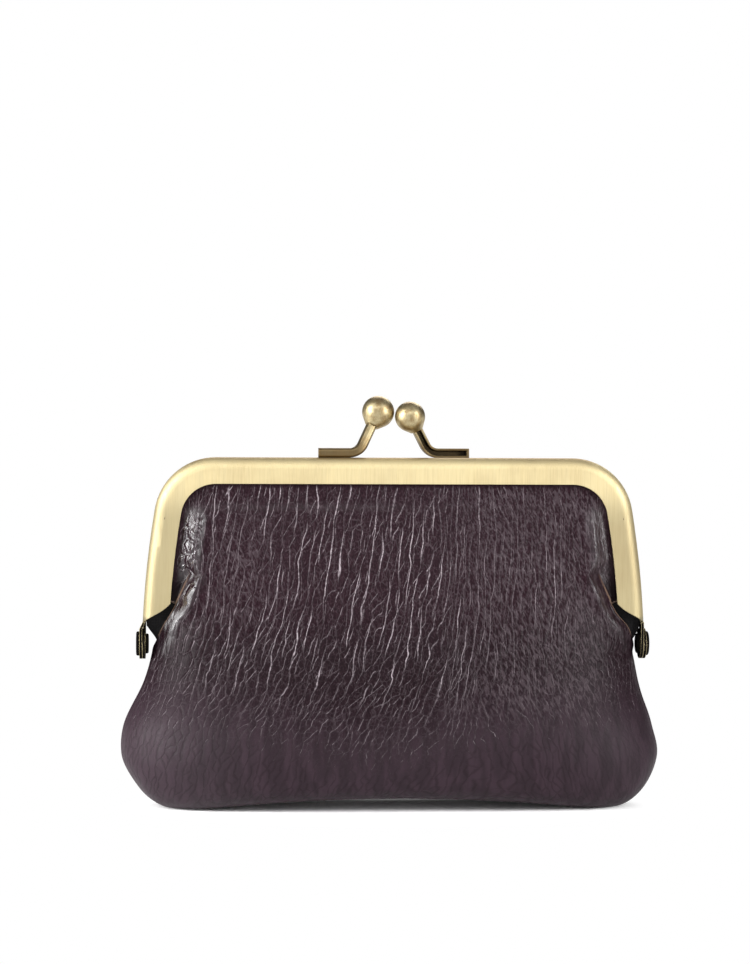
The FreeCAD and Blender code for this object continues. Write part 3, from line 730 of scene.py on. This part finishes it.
def leather_tone(bench, bag, hide):
    """The leather's colour: flecked plum, paler low down as painted floor light, with pale marks that are
    partly painted highlight, painted sheen, painted shadow beside the slits and a raw edge along them.
    """
    tone = bench.mix(bench.ramp(hide.scratch, 0.35, 0.65), shade(bag.leather, 0.7), shade(bag.leather, 1.3))
    tone = bench.mix(bench.ramp(hide.up, *LEATHER_PALES, 0.36, 0.0), tone, (0.0, 0.0, 0.0))
    # Low down the plum is paler, as painted light from the floor, with random folds in its tone
    plum = bag.floor_lit_leather
    low = bench.mix(bench.ramp(hide.fold, 0.38, 0.62), shade(plum, 0.8), shade(plum, 1.2))
    # The left flank low down pales: painted light from the lamps at the left
    low = bench.mix(bench.ramp(hide.across, *LEFT_PAINTED_LIGHT, 0.8, 0.0), low, shade(plum, 1.6))
    tone = bench.mix(hide.low_zone, tone, low)
    # Round each pebble the rim is a little paler up high, and low down it darkens as painted shade in the
    # grooves
    rim_share = bench.math("MULTIPLY_ADD", hide.low_zone, 0.6, 0.06)
    rim_and_groove_shade = bench.mix(hide.low_zone, bag.rim, shade(bag.leather, 0.45))
    tone = bench.mix(bench.product(hide.rim, rim_share), tone, rim_and_groove_shade)
    # Painted sheen in the rim's paler plum
    tone = bench.mix(hide.soft, tone, bag.rim)
    # Pale marks: partly the grain's own paler colour, partly painted highlight
    tone = bench.mix(hide.pale, tone, bag.crease)
    # Between the slit's line and the lip the leather darkens: painted shadow beside the roll
    under = bench.fall(hide.inside, -0.4, -0.05)
    tone = bench.mix(bench.product(under, hide.beside_slit), tone, shade(bag.leather, 0.4))
    cut = bench.fall(bench.math("ABSOLUTE", hide.inside), 0.05, 0.28)
    return bench.mix(bench.product(cut, hide.beside_slit), tone, bag.cut_edge)


def leather_relief(bench, hide):
    """The leather's fine relief: dents round the pebbles, scratches, soft folds, and wrinkles by the lip."""
    relief = bench.product(bench.math("SUBTRACT", hide.crease, hide.rim), 0.45)
    relief = bench.math("MULTIPLY_ADD", bench.math("ADD", hide.scratch, hide.mottle), 0.2, relief)
    relief = bench.math("MULTIPLY_ADD", hide.fold, bench.ramp(hide.pebble_zone, 0.0, 0.6, 0.8, 0.0), relief)
    relief = bench.product(relief, bench.ramp(hide.polish, 0.4, 1.0, 1.0, 0.8))
    wrinkle = bench.voronoi("DISTANCE_TO_EDGE", hide.place, 430.0, "3D")
    wrinkle = bench.product(bench.ramp(wrinkle, 0.0, 0.28), bench.ramp(hide.polish, 0.4, 0.9, 0.0, 1.6),
                            bench.ramp(hide.up, *WRINKLES_BEGIN))
    return bench.math("ADD", relief, wrinkle)


def leather_material(bag):
    """Plum brown leather: dark pebbles in a pale net that is partly painted highlight, long stretched creases
    and a soft gloss.
    """
    material, bench, shader = new_material("pebbled_leather")
    hide = hide_marks(bench)
    rough = bench.math("MULTIPLY_ADD", hide.low_zone, 0.2, bench.spread(hide.mottle, 0.3, 0.7, 0.30, 0.42))
    bench.feed(shader, {
        "Base Color": leather_tone(bench, bag, hide),
        "Roughness": bench.product(rough, bench.ramp(hide.polish, 0.4, 1.0, 1.0, 0.6)),
        "Normal": bench.bump(leather_relief(bench, hide), 1.0, 2.2 * bag.grain_depth),
        "Specular IOR Level": bench.ramp(hide.polish, 0.0, 1.0, 0.08, 0.9),
    })
    return material


def cut_edge_material(bag):
    """The raw edge of the leather: brown fibre with a painted look."""
    material, bench, shader = new_material("leather_cut_edge")
    fibre = bench.noise(bench.place(), 1500.0, 4.0, 0.65)
    tone = bench.mix(bench.ramp(fibre, 0.35, 0.65), shade(bag.cut_edge, 0.45), bag.cut_edge)
    bench.feed(shader, {"Base Color": tone, "Normal": bench.bump(fibre, 0.5, 0.0001), "Roughness": 0.6})
    return material


def suede_material(bag):
    """The leather's flesh side, which faces the lining."""
    material, bench, shader = new_material("leather_flesh_side")
    nap = bench.noise(bench.place(), 900.0, 4.0, 0.7)
    tone = bench.mix(bench.ramp(nap, 0.3, 0.7), shade(bag.leather, 0.8), shade(bag.leather, 2.0))
    bench.feed(shader, {"Base Color": tone, "Roughness": 0.95})
    return material


def lining_material(bag):
    """Black plain weave cloth."""
    material, bench, shader = new_material("black_lining")
    thread = {"Vector": bench.place(), "Scale": 900.0, "Distortion": 0.6, "Detail": 1.0}
    warp, weft = (bench.add("ShaderNodeTexWave", thread, output=1, wave_type="BANDS", bands_direction=way)
                  for way in ("X", "Z"))
    weave = bench.product(warp, weft)
    tone = bench.mix(weave, bag.lining, shade(bag.lining, 2.4))
    bench.feed(shader, {"Base Color": tone, "Normal": bench.bump(weave, 0.4, 0.0001), "Roughness": 0.85,
                        "Specular IOR Level": 0.15})
    return material


def paper_material(bag):
    """Brown twisted paper."""
    material, bench, shader = new_material("twisted_paper")
    fibre = bench.noise(bench.place(), 1400.0, 4.0, 0.6)
    bench.feed(shader, {"Base Color": bench.mix(fibre, shade(bag.paper, 0.55), bag.paper), "Roughness": 0.9})
    return material


def brass_material(name, brass, bright, brown, cloud_mm, roughness, black_below=0.0, painted_shade_below=0.0):
    """Antique brass: brushed upright, brown in clouds, a painted dark reflection on top, painted shade down
    its legs, black in its hollows, and worn rims. Below the heights given in millimetres it is black, or dark
    brown as painted shade."""
    material, bench, shader = new_material(name)
    place = bench.place()
    _, depth, height = bench.axes(place)
    plain = bench.add("ShaderNodeNewGeometry", output="True Normal")
    _, facing, up = bench.axes(plain)
    pitch = 1.0 / brass.brush_pitch
    streak = bench.stretched_noise(place, (pitch, pitch, pitch / 40), 1.0, 2.0, 0.6)
    broad = bench.stretched_noise(place, (pitch / 5, pitch / 5, pitch / 120), 1.0)
    cloud = bench.noise(place, 1.0 / (cloud_mm * MM), 3.0)

    metal = shade(brass.brass, bright)
    # Below the top bar the brass is darker: painted shade down the legs, whose faces catch less light
    base = bench.mix(bench.ramp(height, *LEG_PAINTED_SHADE), shade(metal, 0.69), metal)
    dull = bench.math("ADD", bench.ramp(streak, 0.35, 0.75, 0.0, 0.5), bench.ramp(cloud, 0.4, 0.7, 0.0, 0.6))
    base = bench.mix(bench.product(dull, brown), base, brass.patina_and_shade)
    # Upward faces turn brown: painted dark reflection along the top
    base = bench.mix(bench.ramp(up, 0.7, 0.98, 0.0, 0.75), base, brass.patina_and_shade)
    # The clasp feet are dark brown below a height: painted shade on their fronts
    if painted_shade_below:
        low = bench.ramp(height, (painted_shade_below - 1.0) * MM, (painted_shade_below + 2.0) * MM, 0.8, 0.0)
        base = bench.mix(low, base, shade(brass.patina_and_shade, 0.5))

    open_air = bench.add("ShaderNodeAmbientOcclusion", {"Distance": 0.0022}, "AO", samples=8, only_local=True)
    hollow = bench.fall(open_air, 0.25, 0.6)
    if black_below:
        low = bench.fall(height, (black_below - 1.2) * MM, (black_below + 1.2) * MM)
        inner = bench.product(bench.fall(bench.math("ABSOLUTE", depth), 0.0008, 0.0011),
                              bench.ramp(bench.math("ABSOLUTE", facing), 0.5, 0.8),
                              bench.fall(height, (black_below + 5.0) * MM, (black_below + 8.0) * MM))
        hollow = bench.largest(hollow, low, inner)
    corner = bench.add("ShaderNodeBevel", {"Radius": 0.0002}, samples=8)
    worn = bench.fall(bench.vector("DOT_PRODUCT", corner, plain), 0.90, 0.985)
    black = bench.product(hollow, bench.math("SUBTRACT", 1.0, worn))

    rough = bench.spread(broad, 0.3, 0.7, roughness - 0.05, roughness + 0.05)
    brushed = bench.bump(streak, 0.5, brass.brush_depth)
    bench.feed(brushed.node, {"Normal": corner})
    bench.feed(shader, {
        "Base Color": bench.mix(black, base, brass.black),
        "Roughness": bench.spread(black, 0.0, 1.0, rough, 0.2),
        "Metallic": bench.fall(black, 0.0, 1.0),
        "Normal": brushed,
        "Specular IOR Level": bench.ramp(black, 0.0, 1.0, 0.5, 0.0),
    })
    return material


def finish_brass(brass, finish, *nodes):
    """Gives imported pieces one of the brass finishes."""
    material = brass_material(finish, brass, **FINISHES[finish])
    for node in nodes:
        slots = NODES[node].data.materials
        slots.clear()
        slots.append(material)


def hang(piece, side, what):
    """Hides the imported panel that a piece stands in for, and bakes the piece's transform into its mesh."""
    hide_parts(f"{side}_{what}_panel")
    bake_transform(piece)


class PURSE_OT_leather(bpy.types.Operator):
    """Makes the front and back leather panels, with their grain, slits and cut edges"""
    bl_idname = "purse.leather"
    bl_label = "Leather panels"

    def execute(self, context):
        bag = context.scene.purse_bag
        materials = [leather_material(bag), suede_material(bag), cut_edge_material(bag)]
        skin = panel_skin(0.0, bag.leather_grid / MM, False)
        for side in SIDES:
            mesh = shell(f"{side}_leather", skin, LEATHER, 4)
            lay_out_grain(mesh, skin, bag.crease_spacing / MM)
            settle(mesh, side)
            piece = add_piece(f"{side}_leather", mesh, materials)
            press_grain(piece, bag.grain_depth)
            hang(piece, side, "leather")
        return {"FINISHED"}


class PURSE_OT_lining(bpy.types.Operator):
    """Makes the front and back lining panels, which show in the slits and inside"""
    bl_idname = "purse.lining"
    bl_label = "Lining panels"

    def execute(self, context):
        bag = context.scene.purse_bag
        material = lining_material(bag)
        skin = panel_skin(LEATHER + LINING_GAP, bag.lining_grid / MM, True)
        for side in SIDES:
            mesh = shell(f"{side}_lining", skin, LINING, 2)
            settle(mesh, side)
            piece = add_piece(f"{side}_lining", mesh, [material] * 3)
            hang(piece, side, "lining")
        return {"FINISHED"}


def cord_path(inset, depth, spacing):
    """Points along the channel from the right leg round to the left, with the way across it at each."""

    def arc(x, z, radius, start, end):
        turns = np.linspace(start, end, round((end - start) * radius / spacing))
        return [(x + (radius - inset) * math.cos(a), z + (radius - inset) * math.sin(a), a) for a in turns]

    right = arc(LEG_X, LEG_Z, LEG_RADIUS, LEG_LEAN + CORD_START / LEG_RADIUS, CORNER_ANGLE)
    right += arc(CORNER_X, CORNER_Z, CORNER_RADIUS, CORNER_ANGLE, math.pi / 2)[1:]
    bar = np.linspace(CORNER_X, -CORNER_X, round(2 * CORNER_X / spacing))[1:-1]
    top = [(x, FRAME_TOP - inset, math.pi / 2) for x in bar]
    left = [(-x, z, math.pi - a) for x, z, a in right[::-1]]
    route = right + top + left
    return [(Vector((x, -depth, z)), Vector((math.cos(a), 0, math.sin(a)))) for x, z, a in route]


def twisted_cord(path):
    """Points in millimetres and faces of a cord of two strands along a path, with its two ends last."""
    sides, points, faces = CORD_SIDES, [], []
    for i, (centre, out) in enumerate(path):
        for k in range(sides):
            turn = 2 * math.pi * k / sides
            radius = CORD_RADIUS * (1 - CORD_GROOVE + CORD_GROOVE * math.cos(2 * (turn - CORD_TWIST * i)))
            points.append(centre + (out * math.cos(turn) + Vector((0, 1, 0)) * math.sin(turn)) * radius)
    last = (len(path) - 1) * sides
    for ring in range(0, last, sides):
        for k in range(sides):
            ahead = (k + 1) % sides
            faces.append([ring + k, ring + ahead, ring + sides + ahead, ring + sides + k])
    faces.append(list(range(sides))[::-1])
    faces.append(list(range(last, last + sides)))
    return points, faces


class PURSE_OT_paper_cords(bpy.types.Operator):
    """Makes the twisted paper cords that wedge the panels into the jaws"""
    bl_idname = "purse.paper_cords"
    bl_label = "Paper cords"

    def execute(self, context):
        material = paper_material(context.scene.purse_bag)
        depth = (PANEL_FACE - LEATHER - LINING_GAP - LINING + CHANNEL_BACK) / 2
        points, faces = twisted_cord(cord_path(CORD_EDGE, depth, CORD_SPACING))
        for side in SIDES:
            mesh = bpy.data.meshes.new(f"{side}_cord")
            mesh.from_pydata([list(point * MM) for point in points], [], faces)
            mesh.polygons.foreach_set("use_smooth", [True] * (len(faces) - 2) + [False] * 2)
            settle(mesh, side)
            piece = add_piece(f"{side}_cord", mesh, [material])
            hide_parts(f"{side}_paper_cord")
            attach(piece, f"{side}_frame")
        return {"FINISHED"}


class PURSE_OT_jaws(bpy.types.Operator):
    """Finishes the two jaws in brushed antique brass with blackened ears and hollows"""
    bl_idname = "purse.jaws"
    bl_label = "Jaws"

    def execute(self, context):
        finish_brass(context.scene.purse_brass, "brushed_brass", "front_jaw", "back_jaw")
        return {"FINISHED"}


class PURSE_OT_hinges(bpy.types.Operator):
    """Finishes the hinge rivets in blackened brass with worn rims"""
    bl_idname = "purse.hinges"
    bl_label = "Hinge rivets"

    def execute(self, context):
        finish_brass(context.scene.purse_brass, "blackened_rivet", "left_hinge_rivet", "right_hinge_rivet")
        return {"FINISHED"}


class PURSE_OT_clasps(bpy.types.Operator):
    """Finishes the clasp posts and balls in a browner brass"""
    bl_idname = "purse.clasps"
    bl_label = "Clasps"

    def execute(self, context):
        finish_brass(context.scene.purse_brass, "clasp_brass", "front_clasp_post", "back_clasp_post")
        finish_brass(context.scene.purse_brass, "ball_brass", "front_clasp_ball", "back_clasp_ball")
        return {"FINISHED"}


def floor_material(stage):
    """Pale floor that takes the shadow and runs out to white."""
    material, bench, shader = new_material("pale_floor")
    floor = (*stage.floor, 1.0)
    bench.feed(shader, {"Base Color": floor, "Roughness": 1.0, "Specular IOR Level": 0.0})
    away = bench.vector("LENGTH", bench.vector("MULTIPLY", bench.place(), (1.3, 2.0, 1.0)))
    path = bench.add("ShaderNodeLightPath", output=None).outputs
    seen = bench.largest(path["Is Camera Ray"], path["Is Glossy Ray"], path["Is Transmission Ray"])
    paler = bench.add("ShaderNodeBsdfDiffuse", {"Color": floor})
    paler = bench.add("ShaderNodeMixShader", {0: bench.product(seen, 0.7), 2: paler})
    near = bench.add("ShaderNodeAddShader", {0: shader.outputs[0], 1: paler})
    white = bench.add("ShaderNodeEmission", {"Strength": 1.0})
    far = bench.product(seen, bench.ramp(away, *FLOOR_FADE))
    both = bench.add("ShaderNodeMixShader", {0: far, 1: near, 2: white})
    output = next(node for node in material.node_tree.nodes if node.type == "OUTPUT_MATERIAL")
    bench.feed(output, {"Surface": both})
    return material


def studio_world():
    """A white background for the camera, and for the rest a studio that is bright in front of the purse."""
    world = bpy.data.worlds.new("studio")
    world.use_nodes = True
    world.node_tree.nodes.clear()
    bench = NodeBench(world.node_tree)
    way = bench.add("ShaderNodeTexCoord", output="Generated")
    back = bench.ramp(bench.vector("DOT_PRODUCT", way, (0.0, 1.0, 0.0)), -1.0, 1.0)
    levels = bench.add("ShaderNodeValToRGB", {0: back}, output=None)
    for i, (place, level) in enumerate(STUDIO_LEVELS.items()):
        stops = levels.color_ramp.elements
        stop = stops[i] if i < 2 else stops.new(place)
        stop.position = place
        stop.color = (level, level, level, 1.0)
    path = bench.add("ShaderNodeLightPath", output=None).outputs
    seen = bench.largest(path["Is Camera Ray"], path["Is Transmission Ray"])
    tone = bench.mix(path["Is Glossy Ray"], (0.9, 0.9, 0.9), levels.outputs[0])
    studio = bench.add("ShaderNodeBackground", {"Color": tone, "Strength": STUDIO_STRENGTH})
    white = bench.add("ShaderNodeBackground", {"Color": (1.0, 1.0, 1.0, 1.0), "Strength": 1.0})
    mixed = bench.add("ShaderNodeMixShader", {0: seen, 1: studio, 2: white})
    bench.add("ShaderNodeOutputWorld", {0: mixed}, output=None)
    return world


def add_turned(name, data, place, turn):
    """Puts a lamp or a camera at a place, turned by a quaternion."""
    holder = bpy.data.objects.new(name, data)
    holder.location = place
    holder.rotation_mode = "QUATERNION"
    holder.rotation_quaternion = turn
    bpy.context.scene.collection.objects.link(holder)
    return holder


def add_lamp(name, place, size, power):
    """A soft rectangular lamp that points at the purse."""
    lamp = bpy.data.lights.new(name, "AREA")
    lamp.shape = "RECTANGLE"
    lamp.size, lamp.size_y = size
    lamp.energy = power
    add_turned(name, lamp, place, (Vector(LAMP_AIM) - Vector(place)).to_track_quat("-Z", "Y"))


def add_camera(stage):
    """The camera at the photograph's viewing angle."""
    camera = bpy.data.cameras.new("camera")
    camera.lens = stage.lens
    camera.clip_start = 0.01
    aside, back = stage.distance * math.sin(stage.turn), stage.distance * math.cos(stage.turn)
    level = math.cos(stage.tilt)
    look = Vector((math.sin(stage.heading) * level, math.cos(stage.heading) * level, math.sin(stage.tilt)))
    turn = look.to_track_quat("-Z", "Y") @ Quaternion((0, 0, 1), stage.roll)
    return add_turned("camera", camera, (-aside, -back, stage.camera_height), turn)


class PURSE_OT_stage(bpy.types.Operator):
    """Sets up the floor, the studio light and the camera"""
    bl_idname = "purse.stage"
    bl_label = "Stage"

    def execute(self, context):
        scene = context.scene
        corners = [(x * FLOOR_HALF, y * FLOOR_HALF, 0) for x, y in ((-1, -1), (1, -1), (1, 1), (-1, 1))]
        mesh = bpy.data.meshes.new("floor")
        mesh.from_pydata(corners, [], [[0, 1, 2, 3]])
        floor = add_piece("floor", mesh, [floor_material(scene.purse_stage)])
        for name, (place, size, power) in LAMPS.items():
            add_lamp(name, place, size, power)
        scene.world = studio_world()
        scene.view_settings.view_transform = "Standard"
        scene.camera = add_camera(scene.purse_stage)
        return {"FINISHED"}


class PURSE_PT_sidebar(bpy.types.Panel):
    """Lists the purse's sizes, colours and steps"""
    bl_idname = "PURSE_PT_sidebar"
    bl_label = "Purse"
    bl_space_type = "VIEW_3D"
    bl_region_type = "UI"
    bl_category = "Purse"

    def draw(self, context):
        scene = context.scene
        steps = ((scene.purse_bag, ("leather", "lining", "paper_cords")),
                 (scene.purse_brass, ("jaws", "hinges", "clasps")),
                 (scene.purse_stage, ("stage",)))
        for group, operators in steps:
            box = self.layout.box()
            for name in group.__annotations__:
                box.prop(group, name)
            for operator in operators:
                box.operator("purse." + operator)


SETTINGS = {"purse_bag": PurseBag, "purse_brass": PurseBrass, "purse_stage": PurseStage}
CLASSES = (PurseBag, PurseBrass, PurseStage, PURSE_OT_leather, PURSE_OT_lining, PURSE_OT_paper_cords,
           PURSE_OT_jaws, PURSE_OT_hinges, PURSE_OT_clasps, PURSE_OT_stage, PURSE_PT_sidebar)


def register():
    for cls in CLASSES:
        bpy.utils.register_class(cls)
    for name, group in SETTINGS.items():
        setattr(bpy.types.Scene, name, bpy.props.PointerProperty(type=group))


def unregister():
    for name in SETTINGS:
        delattr(bpy.types.Scene, name)
    for cls in reversed(CLASSES):
        bpy.utils.unregister_class(cls)


def main():
    register()
    bpy.ops.purse.leather()
    bpy.ops.purse.lining()
    bpy.ops.purse.paper_cords()
    bpy.ops.purse.jaws()
    bpy.ops.purse.hinges()
    bpy.ops.purse.clasps()
    bpy.ops.purse.stage()


if __name__ == "__main__":
    main()
